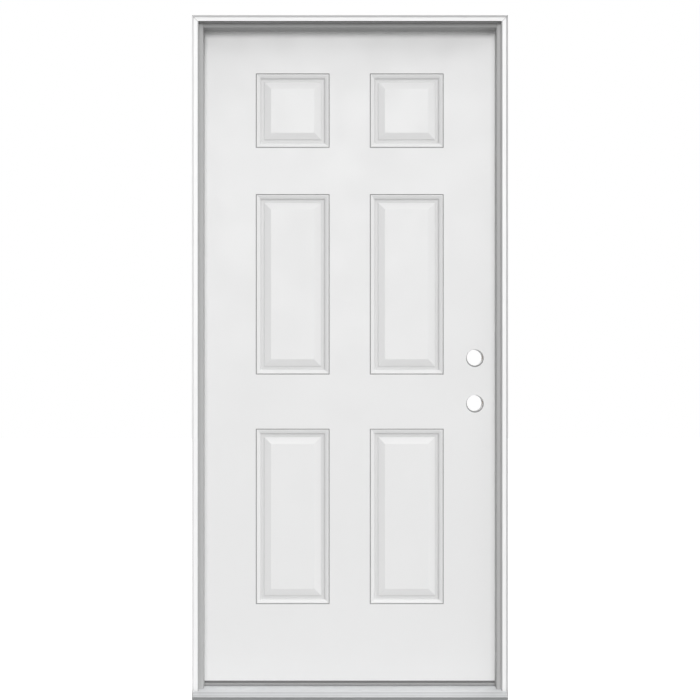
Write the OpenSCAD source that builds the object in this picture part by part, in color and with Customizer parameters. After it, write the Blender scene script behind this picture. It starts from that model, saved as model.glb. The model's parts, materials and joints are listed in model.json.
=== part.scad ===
// A six-panel entrance door: a pressed-steel leaf with a foam core, hung on three butt hinges in a
// rabbeted frame with its threshold. All sizes are in millimetres.
// +Z is up, +Y points indoors, and +X is to the right as seen from outside. The origin is on the
// threshold's underside, midway between the jambs, in the plane of the frame's exterior edge.

/* [Frame] */
// Width over the two jambs
unit_w = 952.5; // [790:0.5:1250]
// Height of the jambs
unit_h = 2070; // [1720:1:2500]
// Depth of the frame from its exterior to its interior edge
frame_depth = 115.9; // [96:0.1:170]
// Thickness of a jamb in its rabbets
jamb_t = 19; // [15.5:0.1:25]
// How far the stop stands into the doorway
stop_h = 12.7; // [10.5:0.1:16]
// Depth of the shallow rabbet outside the stop
outer_rabbet = 22.2; // [18:0.1:30]
// How far the edge trim stays back from the rabbets
trim_reveal = 2.6; // [0.5:0.1:4]
// Thickness of the edge trim
trim_t = 6; // [4:0.1:8]

/* [Leaf] */
// Thickness of the leaf
leaf_t = 44.45; // [37:0.05:54]
// Gap between the leaf and the frame at its two sides and its head
edge_gap = 3.2; // [2.6:0.1:4]
// Gap between the leaf and the stop, which the seal fills
seal_gap = 3.15; // [2.5:0.05:5]
// Thickness of the steel skins
skin_t = 0.6; // [0.5:0.1:1]
// How far each skin turns round the leaf's long edges
skin_return = 9; // [6:0.5:14]
// Width of the wooden stiles inside the leaf
stile_w = 38; // [30:1:46]
// Height of the wooden top rail inside the leaf
top_rail_h = 38; // [30:1:60]
// Height of the wooden bottom rail inside the leaf
bottom_rail_h = 60; // [40:1:90]

/* [Panels] */
// Width of the flat stiles beside the panels
stile_face = 165.85; // [135:0.05:200]
// Width of the mullion between the two columns of panels
mullion_w = 123.2; // [100:0.1:150]
// Height of the top rail above the highest panels
top_margin = 136.4; // [110:0.1:170]
// Height of the two small panels at the top
top_panel_h = 228.7; // [180:0.1:300]
// Height of the two tall panels at the bottom; the middle ones take what is left
bottom_panel_h = 538.4; // [440:0.1:650]
// Height of the bottom rail up to the lowest panels
bottom_margin = 234.2; // [190:0.1:290]
// Height of the lock rail between the bottom and the middle panels
lock_rail_h = 165.8; // [135:0.1:200]
// Height of the rail between the middle and the top panels
frieze_rail_h = 141.7; // [110:0.1:170]
// Depth of the quirk that runs round each panel
quirk_d = 1.8; // [1:0.1:3]
// Depth of the sunk floor round each raised field
floor_d = 8; // [6:0.1:10]
// Depth of the raised field below the face of the leaf
field_d = 1; // [0.5:0.1:2]

/* [Lock bores] */
// Radius of the two bores through the leaf
cross_bore_r = 27; // [22:0.1:33]
// Distance from the leaf's lock edge to the middle of the bores
backset = 70; // [58:0.5:84]
// Height of the lower bore above the underside of the threshold
latch_z = 898; // [850:1:950]
// Distance between the two bores
bore_spacing = 139.7; // [125:0.1:160]
// Radius of the bores in the leaf's edge
edge_bore_r = 12.7; // [11.5:0.1:14]
// Radius of the bores in the strike jamb
strike_bore_r = 11.1; // [9.5:0.1:11.4]
// Height of the mortises for the face plates and strike plates
faceplate_h = 57.2; // [55:0.1:60]
// Width of the mortises for the face plates and strike plates
faceplate_w = 25.6; // [25:0.1:27]
// Depth of the mortises for the face plates and strike plates
faceplate_d = 2.4; // [1.5:0.1:4]

/* [Hinges] */
// Height of each hinge
hinge_h = 101.6; // [80:0.1:120]
// Distance from the edge of each hinge flap to the leaf's exterior face
flap_setback = 10.4; // [9.5:0.1:13]
// Thickness of the hinge flaps
flap_t = 2.4; // [2:0.1:3]
// Radius of the hinge knuckles
knuckle_r = 6.8; // [6:0.1:8.2]
// Radius of the hinge pins
pin_r = 4; // [3.3:0.1:4.8]
// Distance from the leaf's top to the top of the highest hinge
hinge_top_drop = 178; // [150:1:220]
// Distance from the leaf's lower edge to the bottom of the lowest hinge
hinge_bottom_rise = 279; // [200:1:300]

/* [Threshold] */
// Height of the threshold's deck
deck_z = 34; // [28:0.1:45]
// How far the threshold stands out in front of the frame
nose_out = 27; // [15:0.5:50]
// Height of the nose's vertical front
nose_h = 18; // [14:0.5:22]
// Wall of the aluminium deck
deck_wall = 1.6; // [1.2:0.1:2.2]
// Number of flutes along the deck
flutes = 4; // [2:1:4]
// Height of the adjustable cap above the deck
cap_rise = 8.5; // [7:0.1:12]
// Height of the sweep, which closes the gap between the cap and the leaf
sweep_drop = 6.5; // [5:0.1:10]

/* [Hidden] */
$fn = 64;

// Clearances
fit = 0.2;         // between pieces that are fixed together
touch = 0.3;       // between the leaf and what it closes against
running = 0.05;    // radial, between a hinge pin and its knuckles
eps = 1;           // how far a cutter passes the face that it cuts

// Frame
half_w = unit_w / 2;
rabbet_x = half_w - jamb_t;
trim_w = jamb_t - trim_reveal;
stop_x = rabbet_x - stop_h;
stop_y = frame_depth - leaf_t - seal_gap;
head_z = unit_h - jamb_t;
ease = 1.6;
kerf_w = 3;
kerf_d = 8;
relief_w = 8;
relief_d = 3;
trim_lip_w = 0.8;
trim_slope_w = 4.6;
trim_band_t = 2.6;
trim_ease = 0.6;

// Leaf
cap_z = deck_z + cap_rise;
leaf_z = cap_z + sweep_drop;
leaf_w = 2 * (rabbet_x - edge_gap);
leaf_h = head_z - edge_gap - leaf_z;
leaf_x = leaf_w / 2;
leaf_y0 = frame_depth - leaf_t;
leaf_y1 = frame_depth;
leaf_top = leaf_z + leaf_h;
leaf_mid_y = (leaf_y0 + leaf_y1) / 2;
inside_y0 = leaf_y0 + skin_t;
inside_t = leaf_t - 2 * skin_t;

// Panels: outlines and the profile that runs round each, from its outline inwards
panel_w = leaf_x - stile_face - mullion_w / 2;
panel_x = (mullion_w + panel_w) / 2;
middle_panel_h = leaf_h - top_margin - top_panel_h - frieze_rail_h - lock_rail_h - bottom_panel_h
    - bottom_margin;
bottom_panel_z = leaf_z + bottom_margin;
middle_panel_z = bottom_panel_z + bottom_panel_h + lock_rail_h;
top_panel_z = middle_panel_z + middle_panel_h + frieze_rail_h;
PANEL_ROWS = [[bottom_panel_z, bottom_panel_h], [middle_panel_z, middle_panel_h],
    [top_panel_z, top_panel_h]];
bead_d = 0.4;
quirk_out = 1.5;
quirk_in = 3.2;
stick_out = 5;
stick_mid = 13;
stick_mid_d = 3.4;
stick_in = 17;
step_out = 25.5;
step_in = 27.5;
step_rise = 2;
bevel_in = 44.5;
bevel_crest = 1.4;
field_out = 49;

// Lock bores
bore_x = leaf_x - backset;
BORE_Z = [latch_z, latch_z + bore_spacing];
block_h = bore_spacing + 2 * (cross_bore_r + 38);
block_w = backset + cross_bore_r + 20 - stile_w;
block_z = latch_z + bore_spacing / 2 - block_h / 2;
plate_corner_r = 6;

// Hinges
flap_w = leaf_t - flap_setback;
pin_x = -rabbet_x + edge_gap / 2;
pin_y = frame_depth + knuckle_r + 0.5;
knuckle_gap = 0.3;
knuckle_h = (hinge_h - 4 * knuckle_gap) / 5;
knuckle_step = knuckle_h + knuckle_gap;
flap_corner_r = 12;
bottom_hinge_z = leaf_z + hinge_bottom_rise;
top_hinge_z = leaf_top - hinge_top_drop - hinge_h;
middle_hinge_z = (bottom_hinge_z + top_hinge_z) / 2;
HINGE_Z = [bottom_hinge_z, middle_hinge_z, top_hinge_z];
frame_screw_l = jamb_t - 6.4;
leaf_screw_l = 24;

// Screws: shank and countersunk head
shank_r = 2.2;
screw_head_r = 4.4;
screw_head_h = 2.2;
slot_w = 1;
slot_d = 0.9;

// Threshold
channel_y0 = stop_y - 4;
channel_y1 = frame_depth - 6;
channel_z = deck_z - 5.5;
nose_ease = 1.8;
nose_half_w = half_w - 4.3;
substrate_out = 12;
flute_w = 4;
flute_d = 0.8;
flute_y0 = 8;
flute_step = (channel_y0 - 2 * flute_y0) / (flutes - 1);
cap_y0 = channel_y0 - 3;
cap_lip_z = deck_z + 3;
cap_nose_r = (cap_z - cap_lip_z) / 2;

// Sweep
sweep_base_t = 1.6;
sweep_y0 = leaf_y0 + 1.2;
sweep_y1 = leaf_y1 - 1.2;
fin_t = 1.3;
FIN_Y = [sweep_y0, leaf_mid_y - fin_t / 2, sweep_y1 - fin_t];

// ---------------------------------------------------------------- helpers

// Extrudes a (y, z) outline along X between two places
module along_x(x0, x1) {
    translate([x0, 0, 0])
    rotate([90, 0, 90])
    linear_extrude(x1 - x0) children();
}

// A box between two corners
module span(low, high) {
    translate(low) cube(high - low);
}

// Draws its children on the strike side, as the mirror image of the hinge side
module on_strike_side() {
    mirror([1, 0, 0]) children();
}

// A jamb's section: how far it stands into the doorway, against Y
module jamb_section() {
    difference() {
        polygon([
            [0, trim_t], [jamb_t, trim_t], [jamb_t, outer_rabbet],
            [jamb_t + stop_h - ease, outer_rabbet], [jamb_t + stop_h, outer_rabbet + ease],
            [jamb_t + stop_h, stop_y - ease], [jamb_t + stop_h - ease, stop_y],
            [jamb_t, stop_y], [jamb_t, frame_depth], [0, frame_depth]
        ]);
        // kerf for the seal's barb
        translate([jamb_t + 1, stop_y - kerf_d]) square([kerf_w, kerf_d + eps]);
        // kerf for the trim's tongue
        translate([trim_w / 2 - kerf_w / 2, trim_t - eps]) square([kerf_w, kerf_d + eps]);
        // relief grooves in the back
        for (y = [frame_depth * 0.3, frame_depth * 0.65])
            translate([-eps, y - relief_w / 2]) square([relief_d + eps, relief_w]);
    }
}

// The space that a side jamb and its trim take on plan, grown by a clearance
module jamb_plan(grow) {
    polygon([
        [-half_w - eps, -grow], [-rabbet_x + grow, -grow], [-rabbet_x + grow, outer_rabbet - grow],
        [-stop_x + grow, outer_rabbet - grow], [-stop_x + grow, stop_y + grow],
        [-rabbet_x + grow, stop_y + grow], [-rabbet_x + grow, frame_depth + eps],
        [-half_w - eps, frame_depth + eps]
    ]);
}

// Clears both jambs out of what stands between them
module clear_jambs() {
    for (side = [0, 1])
        mirror([side, 0, 0])
        translate([0, 0, -eps])
        linear_extrude(unit_h + 2 * eps) jamb_plan(fit);
}

// A countersunk screw along +Z, its head's top at the origin and its point below
module screw(shank_l) {
    difference() {
        union() {
            translate([0, 0, -screw_head_h]) cylinder(h = screw_head_h, r1 = shank_r, r2 = screw_head_r);
            translate([0, 0, -shank_l]) cylinder(h = shank_l - screw_head_h, r = shank_r);
            translate([0, 0, -shank_l - 2 * shank_r]) cylinder(h = 2 * shank_r, r1 = 0.4, r2 = shank_r);
        }
        translate([-slot_w / 2, -screw_head_r, -slot_d]) cube([slot_w, 2 * screw_head_r, slot_d + eps]);
        translate([-screw_head_r, -slot_w / 2, -slot_d]) cube([2 * screw_head_r, slot_w, slot_d + eps]);
    }
}

// The hole that such a screw fills
module screw_hole(shank_l) {
    grow = 0.05;
    translate([0, 0, -screw_head_h - grow])
        cylinder(h = screw_head_h + 2 * grow, r1 = shank_r + grow, r2 = screw_head_r + 2 * grow);
    translate([0, 0, -shank_l - 2 * shank_r - grow])
        cylinder(h = shank_l + 2 * shank_r, r = shank_r + grow);
}

// ---------------------------------------------------------------- frame

// Places of the screws that join the head to the side jambs, on the hinge side
module at_head_screws() {
    for (y = [outer_rabbet, frame_depth * 0.5, frame_depth - 14])
        translate([-half_w, y, unit_h - jamb_t / 2]) rotate([0, -90, 0]) children();
}
head_screw_l = jamb_t + 32;

// Places of the screws that join the threshold to the side jambs, on the hinge side
module at_sill_screws() {
    for (y = [frame_depth * 0.45, frame_depth - 22])
        translate([-half_w, y, channel_z * 0.45]) rotate([0, -90, 0]) children();
}
sill_screw_l = jamb_t + stop_h + 26;

// Places of a hinge's four screws on a flap, level with the flap's face at x = 0
module at_hinge_screws() {
    for (z = HINGE_Z)
        for (row = [0 : 3])
            translate([0, frame_depth - (row % 2 == 0 ? 11 : 23), z + hinge_h * (0.13 + 0.247 * row)])
            children();
}

// The outline of a flap on plan (y across, z up), with its two inner corners rounded
module flap_outline(grow) {
    r = flap_corner_r;
    y0 = frame_depth - flap_w - grow;
    h = hinge_h + 2 * grow;
    translate([y0 + r, -grow]) square([flap_w + grow - r + eps, h]);
    translate([y0, r - grow]) square([r + eps, h - 2 * r]);
    for (z = [r - grow, h - r - grow]) translate([y0 + r, z]) circle(r);
}

// The mortises for the flaps, cut from a face at x = 0 towards -X
module flap_mortises() {
    for (z = HINGE_Z)
        translate([-flap_t - fit / 4, 0, z])
        rotate([90, 0, 90])
        linear_extrude(flap_t + fit / 4 + eps) flap_outline(fit);
}

module side_jamb() {
    kerf_x = trim_w / 2 - kerf_w / 2;
    difference() {
        translate([-half_w, 0, 0]) linear_extrude(unit_h) jamb_section();
        // the stop ends under the head
        span([-rabbet_x, outer_rabbet - eps, head_z], [-stop_x + eps, stop_y + eps, unit_h + eps]);
        // kerf for the tongue of the head's trim
        span([-half_w + kerf_x, trim_t - eps, unit_h - kerf_x - kerf_w],
            [-rabbet_x + eps, trim_t + kerf_d, unit_h - kerf_x]);
        at_head_screws() screw_hole(head_screw_l);
        at_sill_screws() screw_hole(sill_screw_l);
    }
}

module hinge_jamb() {
    color("gainsboro")
    difference() {
        side_jamb();
        translate([-rabbet_x, 0, 0]) {
            flap_mortises();
            at_hinge_screws() rotate([0, 90, 0]) screw_hole(frame_screw_l);
        }
    }
}

// A rounded plate mortise along X, its floor a set depth below the face at x = 0
module plate_mortise(depth) {
    r = plate_corner_r;
    w = faceplate_w / 2 - r;
    h = faceplate_h / 2 - r;
    translate([-depth, 0, 0])
    rotate([90, 0, 90])
    linear_extrude(depth + eps) {
        square([2 * w, faceplate_h], center = true);
        square([faceplate_w, 2 * h], center = true);
        for (y = [-w, w])
            for (z = [-h, h])
                translate([y, z]) circle(r);
    }
}

module strike_jamb() {
    color("gainsboro")
    on_strike_side()
    difference() {
        side_jamb();
        for (z = BORE_Z)
            translate([-rabbet_x, leaf_mid_y, z]) {
                plate_mortise(faceplate_d);
                translate([-jamb_t - eps, 0, 0]) rotate([0, 90, 0])
                    cylinder(h = jamb_t + 2 * eps, r = strike_bore_r);
            }
    }
}

module head_jamb() {
    color("gainsboro")
    difference() {
        translate([-rabbet_x, 0, unit_h])
        rotate([0, 90, 0])
        linear_extrude(2 * rabbet_x) jamb_section();
        // coped over the stops of the side jambs
        for (side = [0, 1])
            mirror([side, 0, 0])
            translate([-rabbet_x - eps, outer_rabbet, head_z - stop_h - eps])
            cube([stop_h + eps, stop_y - outer_rabbet, stop_h + eps]);
        for (side = [0, 1]) mirror([side, 0, 0]) at_head_screws() screw_hole(head_screw_l);
    }
}

// The trim's section: a lip at its outer edge, a slope down to a flat band, and its tongue
module trim_section() {
    band_y = trim_t - trim_band_t;
    polygon([
        [0, 0], [trim_lip_w, 0], [trim_lip_w + trim_slope_w, band_y], [trim_w - trim_ease, band_y],
        [trim_w, band_y + trim_ease], [trim_w, trim_t], [0, trim_t]
    ]);
    translate([trim_w / 2 - kerf_w / 2, trim_t - 0.5]) square([kerf_w, kerf_d - 0.5]);
}

// Keeps what lies on the hinge side of the corner's mitre, with half of a fine joint taken off
module left_of_mitre() {
    joint = 0.05;
    far = 40;
    intersection() {
        children();
        translate([0, frame_depth, 0])
        rotate([90, 0, 0])
        linear_extrude(frame_depth + eps)
        polygon([
            [-half_w - far, -eps], [-half_w + far, -eps],
            [-half_w + far, unit_h - far - joint], [-half_w - far, unit_h + far - joint]
        ]);
    }
}

module side_trim() {
    left_of_mitre() translate([-half_w, 0, 0]) linear_extrude(unit_h) trim_section();
}

module hinge_side_trim() {
    color("white") side_trim();
}

module strike_side_trim() {
    color("white") on_strike_side() side_trim();
}

module head_trim() {
    far = trim_w + eps;
    color("white")
    intersection() {
        translate([-half_w, 0, unit_h])
        rotate([0, 90, 0])
        linear_extrude(unit_w) trim_section();
        translate([0, frame_depth, 0])
        rotate([90, 0, 0])
        linear_extrude(frame_depth + eps)
        polygon([
            [-half_w, unit_h], [-half_w + far, unit_h - far],
            [half_w - far, unit_h - far], [half_w, unit_h]
        ]);
    }
}

// ---------------------------------------------------------------- seals

// The compressed seal: a bulb across the gap and a barb in the kerf
module seal_section() {
    bulb_t = seal_gap - touch;
    bulb_w = stop_h - 1.2;
    translate([jamb_t + 0.4, stop_y]) square([bulb_w - bulb_t / 2, bulb_t]);
    translate([jamb_t + 0.4 + bulb_w - bulb_t / 2, stop_y + bulb_t / 2]) circle(bulb_t / 2);
    translate([jamb_t + 1 + fit, stop_y - kerf_d + fit]) square([kerf_w - 2 * fit, kerf_d]);
}

module side_seal() {
    low_z = cap_z + touch;
    translate([-half_w, 0, low_z]) linear_extrude(head_z - stop_h - low_z) seal_section();
}

module hinge_side_seal() {
    color("lightgray") side_seal();
}

module strike_side_seal() {
    color("lightgray") on_strike_side() side_seal();
}

module head_seal() {
    reach = stop_x - fit;
    color("lightgray")
    translate([-reach, 0, unit_h])
    rotate([0, 90, 0])
    linear_extrude(2 * reach) seal_section();
}

// Foam pads that close the lower corners beside the leaf
module corner_pads() {
    pad_t = 1.2;
    pad_h = 45;
    pad_y0 = leaf_y0 + 2;
    color("dimgray")
    for (side = [0, 1])
        mirror([side, 0, 0])
        span([-rabbet_x, pad_y0, cap_z + touch], [-rabbet_x + pad_t, leaf_y1 - 4, cap_z + pad_h]);
}

// ---------------------------------------------------------------- threshold

// The deck's outer outline
module deck_outside() {
    polygon([
        [-nose_out, 0], [-nose_out, nose_h - nose_ease], [-nose_out + nose_ease, nose_h],
        [-2, deck_z - 2], [0, deck_z - 0.4], [2, deck_z],
        [channel_y0, deck_z], [channel_y0, channel_z], [channel_y1, channel_z],
        [channel_y1, deck_z], [frame_depth, deck_z], [frame_depth, 0]
    ]);
}

// The space under the deck, which is one wall inside its outline
module deck_inside(low) {
    w = deck_wall;
    polygon([
        [-nose_out + w, low], [-nose_out + w, nose_h - nose_ease - w / 2], [-nose_out + nose_ease + w / 2, nose_h - w],
        [-2, deck_z - 2 - 1.2 * w], [2, deck_z - w - 0.6],
        [channel_y0 - w, deck_z - w - 0.6], [channel_y0 - w, channel_z - w], [channel_y1 + w, channel_z - w],
        [channel_y1 + w, deck_z - w], [frame_depth - w, deck_z - w], [frame_depth - w, low]
    ]);
}

// Places of the screws in the adjustable cap
module at_cap_screws() {
    for (k = [-1.5 : 1 : 1.5])
        translate([k * stop_x / 2, (channel_y0 + channel_y1) / 2, cap_z]) children();
}
cap_screw_l = cap_z - channel_z + 12;

module sill_deck() {
    color("silver")
    difference() {
        along_x(-nose_half_w, nose_half_w)
        difference() {
            deck_outside();
            deck_inside(-eps);
            for (k = [0 : flutes - 1])
                translate([flute_y0 + k * flute_step, deck_z - flute_d]) square([flute_w, flute_d + eps]);
        }
        clear_jambs();
        at_cap_screws() screw_hole(cap_screw_l);
    }
}

module sill_substrate() {
    color("dimgray")
    difference() {
        along_x(-stop_x - stop_h, stop_x + stop_h)
        intersection() {
            deck_inside(0);
            translate([-substrate_out, 0]) square([frame_depth + substrate_out, deck_z]);
        }
        clear_jambs();
        at_cap_screws() screw_hole(cap_screw_l);
        for (side = [0, 1]) mirror([side, 0, 0]) at_sill_screws() screw_hole(sill_screw_l);
    }
}

module sill_cap() {
    foot = 0.4;
    color("darkgray")
    difference() {
        along_x(-rabbet_x, rabbet_x) {
            translate([channel_y0 + foot, channel_z]) 
                square([channel_y1 - channel_y0 - 2 * foot, cap_z - channel_z - 1]);
            translate([cap_y0 + cap_nose_r, cap_lip_z])
                square([frame_depth - 2.5 - cap_y0 - cap_nose_r, cap_z - cap_lip_z]);
            translate([cap_y0 + cap_nose_r, cap_lip_z + cap_nose_r]) circle(cap_nose_r);
        }
        clear_jambs();
        at_cap_screws() screw_hole(cap_screw_l);
    }
}

module cap_screws() {
    color("silver") at_cap_screws() screw(cap_screw_l);
}

module head_screws() {
    color("silver") for (side = [0, 1]) mirror([side, 0, 0]) at_head_screws() screw(head_screw_l);
}

module sill_screws() {
    color("silver") for (side = [0, 1]) mirror([side, 0, 0]) at_sill_screws() screw(sill_screw_l);
}

// ---------------------------------------------------------------- hinges

// Knuckle number k of a hinge, grown by a clearance
module knuckle(z, k, grow) {
    translate([pin_x, pin_y, z + k * knuckle_step - grow])
        cylinder(h = knuckle_h + 2 * grow, r = knuckle_r + grow);
}

// One flap with its knuckles. turn is 0 for the frame's flap and 1 for the leaf's.
module hinge_flap(z, turn) {
    own = turn == 0 ? [0, 2, 4] : [1, 3];
    other = turn == 0 ? [1, 3] : [0, 2, 4];
    swing = 0.5;
    difference() {
        union() {
            translate([pin_x, 0, 0])
            mirror([turn, 0, 0])
            translate([-edge_gap / 2 - flap_t, 0, z])
            rotate([90, 0, 90])
            linear_extrude(flap_t) {
                flap_outline(0);
                translate([frame_depth - eps, 0]) square([pin_y - frame_depth + eps, hinge_h]);
            }
            for (k = own) knuckle(z, k, 0);
        }
        for (k = other) knuckle(z, k, min(knuckle_gap, swing));
        translate([pin_x, pin_y, z - eps]) cylinder(h = hinge_h + 2 * eps, r = pin_r + running);
        translate([pin_x, 0, 0])
        mirror([turn, 0, 0])
        translate([-edge_gap / 2, 0, 0])
        at_hinge_screws() rotate([0, 90, 0]) screw_hole(leaf_screw_l);
    }
}

// A pin with a domed head, and its tip just proud below
module hinge_pin(z) {
    head_r = pin_r + 1.6;
    head_h = 2.4;
    tip = 1.6;
    color("silver")
    translate([pin_x, pin_y, z])
    rotate_extrude() {
        translate([0, -tip]) square([pin_r - 0.6, tip + eps]);
        square([pin_r, hinge_h + eps]);
        translate([0, hinge_h]) square([head_r, head_h - 1]);
        translate([0, hinge_h + head_h - 1 - eps / 10]) square([head_r - 1, 1]);
    }
}

module top_hinge_frame_flap() {
    color("silver") hinge_flap(top_hinge_z, 0);
}

module middle_hinge_frame_flap() {
    color("silver") hinge_flap(middle_hinge_z, 0);
}

module bottom_hinge_frame_flap() {
    color("silver") hinge_flap(bottom_hinge_z, 0);
}

module top_hinge_leaf_flap() {
    color("silver") hinge_flap(top_hinge_z, 1);
}

module middle_hinge_leaf_flap() {
    color("silver") hinge_flap(middle_hinge_z, 1);
}

module bottom_hinge_leaf_flap() {
    color("silver") hinge_flap(bottom_hinge_z, 1);
}

module top_hinge_pin() {
    hinge_pin(top_hinge_z);
}

module middle_hinge_pin() {
    hinge_pin(middle_hinge_z);
}

module bottom_hinge_pin() {
    hinge_pin(bottom_hinge_z);
}

module frame_hinge_screws() {
    color("silver") translate([-rabbet_x, 0, 0]) at_hinge_screws() rotate([0, 90, 0]) screw(frame_screw_l);
}

module leaf_hinge_screws() {
    color("silver")
    translate([-leaf_x, 0, 0])
    mirror([1, 0, 0])
    at_hinge_screws() rotate([0, 90, 0]) screw(leaf_screw_l);
}

// ---------------------------------------------------------------- leaf

// A body between a closing depth and a stepped slope that runs round a panel's outline.
// Each slope point is [distance inwards from the outline, depth below the face].
module panel_body(x, z, h, slope, close) {
    count = len(slope);
    function across(mid, size) = concat(
        [[mid - size / 2 + slope[0][0], close]],
        [for (p = slope) [mid - size / 2 + p[0], p[1]]],
        [for (k = [count - 1 : -1 : 0]) [mid + size / 2 - slope[k][0], slope[k][1]]],
        [[mid + size / 2 - slope[0][0], close]]
    );
    intersection() {
        translate([0, 0, z - eps]) linear_extrude(h + 2 * eps) polygon(across(x, panel_w));
        along_x(x - panel_w / 2 - eps, x + panel_w / 2 + eps)
            polygon([for (p = across(z + h / 2, h)) [p[1], p[0]]]);
    }
}

module each_panel(slope, close) {
    for (x = [-panel_x, panel_x])
        for (row = PANEL_ROWS)
            panel_body(x, row[0], row[1], slope, close);
}

// A slab of a set width whose face at y = 0 has the six panels pressed into it
module pressed_slab(w, low, high, back) {
    difference() {
        union() {
            difference() {
                span([-w / 2, 0, low], [w / 2, back, high]);
                each_panel([[0, 0], [quirk_out, quirk_d]], -eps);
            }
            each_panel([[quirk_out, quirk_d], [quirk_in, bead_d]], back);
        }
        each_panel([[stick_out, bead_d], [stick_mid, stick_mid_d], [stick_in, floor_d]], -eps);
    }
    each_panel([
        [step_out, floor_d], [step_in, floor_d - step_rise], [bevel_in, field_d + bevel_crest],
        [field_out, field_d]
    ], back);
}

// Turns what is made for the exterior face round to the interior face
module to_interior() {
    translate([0, leaf_y0 + leaf_y1, 0]) mirror([0, 1, 0]) children();
}

// The two bores through the leaf
module cross_bores() {
    for (z = BORE_Z)
        translate([bore_x, leaf_y0 - eps, z])
        rotate([-90, 0, 0]) cylinder(h = leaf_t + 2 * eps, r = cross_bore_r);
}

// The two bores in the lock edge, with the mortises for their face plates
module edge_bores() {
    for (z = BORE_Z)
        translate([leaf_x, leaf_mid_y, z]) {
            plate_mortise(faceplate_d);
            translate([-backset, 0, 0]) rotate([0, 90, 0]) cylinder(h = backset + eps, r = edge_bore_r);
        }
}

// The mortises and screw holes for the hinge flaps in the leaf's edge
module leaf_hinge_cuts() {
    translate([-leaf_x, 0, 0])
    mirror([1, 0, 0]) {
        flap_mortises();
        at_hinge_screws() rotate([0, 90, 0]) screw_hole(leaf_screw_l);
    }
}

// A pressed skin on the exterior face, with its edges turned round the stiles
module skin_sheet() {
    difference() {
        translate([0, leaf_y0, 0]) pressed_slab(leaf_w, leaf_z, leaf_top, skin_return);
        translate([0, inside_y0, 0])
            pressed_slab(leaf_w - 2 * skin_t, leaf_z - eps, leaf_top + eps, leaf_t);
    }
}

module skin_exterior() {
    color("white")
    difference() {
        skin_sheet();
        cross_bores();
        leaf_hinge_cuts();
    }
}

module skin_interior() {
    color("white")
    difference() {
        to_interior() skin_sheet();
        cross_bores();
        leaf_hinge_cuts();
    }
}

// The skins' turned edges, which the stiles are rebated for
module skin_returns() {
    for (side = [-1, 1])
        for (y = [leaf_y0, leaf_y1 - skin_return])
            translate([side * leaf_x - skin_t, y - (y == leaf_y0 ? eps : 0), leaf_z - eps])
            cube([2 * skin_t, skin_return + eps, leaf_h + 2 * eps]);
}

// A stile's blank on the hinge side
module stile_blank() {
    difference() {
        span([-leaf_x, inside_y0, leaf_z], [-leaf_x + stile_w, inside_y0 + inside_t, leaf_top]);
        skin_returns();
    }
}

module hinge_stile() {
    color("burlywood")
    difference() {
        stile_blank();
        leaf_hinge_cuts();
    }
}

module lock_stile() {
    color("burlywood")
    difference() {
        mirror([1, 0, 0]) stile_blank();
        cross_bores();
        edge_bores();
    }
}

module rail(low, high) {
    span([-leaf_x + stile_w, inside_y0, low], [leaf_x - stile_w, inside_y0 + inside_t, high]);
}

module top_rail() {
    color("burlywood") rail(leaf_top - top_rail_h, leaf_top);
}

module bottom_rail() {
    color("burlywood")
    difference() {
        rail(leaf_z, leaf_z + bottom_rail_h);
        at_sweep_screws() rotate([180, 0, 0]) screw_hole(sweep_screw_l);
    }
}

module lock_block_blank() {
    span([leaf_x - stile_w - block_w, inside_y0, block_z],
        [leaf_x - stile_w, inside_y0 + inside_t, block_z + block_h]);
}

module lock_block() {
    color("burlywood")
    difference() {
        lock_block_blank();
        cross_bores();
        edge_bores();
    }
}

module foam_core() {
    low = leaf_z + bottom_rail_h;
    high = leaf_top - top_rail_h;
    w = leaf_w - 2 * stile_w;
    color("khaki")
    difference() {
        intersection() {
            translate([0, inside_y0, 0]) pressed_slab(w, low, high, inside_t);
            to_interior() translate([0, inside_y0, 0]) pressed_slab(w, low, high, inside_t);
        }
        lock_block_blank();
    }
}

// Places of the small screws that hold the sweep
module at_sweep_screws() {
    for (k = [-2.5 : 1 : 2.5])
        translate([k * leaf_w / 6, leaf_mid_y - leaf_t / 5, leaf_z - sweep_base_t]) children();
}
sweep_screw_l = 16;

// The sweep under the leaf: a base and three fins that reach down to the cap
module bottom_sweep() {
    color("dimgray")
    difference() {
        along_x(-leaf_x + 1, leaf_x - 1) {
            translate([sweep_y0, leaf_z - sweep_base_t]) square([sweep_y1 - sweep_y0, sweep_base_t]);
            for (y = FIN_Y)
                translate([y, cap_z + touch]) square([fin_t, leaf_z - cap_z - touch]);
        }
        at_sweep_screws() rotate([180, 0, 0]) screw_hole(sweep_screw_l);
    }
}

module sweep_screws() {
    color("silver") at_sweep_screws() rotate([180, 0, 0]) screw(sweep_screw_l);
}

hinge_jamb();
strike_jamb();
head_jamb();
hinge_side_trim();
strike_side_trim();
head_trim();
hinge_side_seal();
strike_side_seal();
head_seal();
corner_pads();
sill_deck();
sill_substrate();
sill_cap();
cap_screws();
head_screws();
sill_screws();
top_hinge_frame_flap();
middle_hinge_frame_flap();
bottom_hinge_frame_flap();
top_hinge_pin();
middle_hinge_pin();
bottom_hinge_pin();
frame_hinge_screws();
top_hinge_leaf_flap();
middle_hinge_leaf_flap();
bottom_hinge_leaf_flap();
leaf_hinge_screws();
skin_exterior();
skin_interior();
hinge_stile();
lock_stile();
top_rail();
bottom_rail();
lock_block();
foam_core();
bottom_sweep();
sweep_screws();
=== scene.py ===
"""The looks of a six-panel entrance door in its frame, around its fixed model. Lengths are in metres."""

import json
import math

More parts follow.
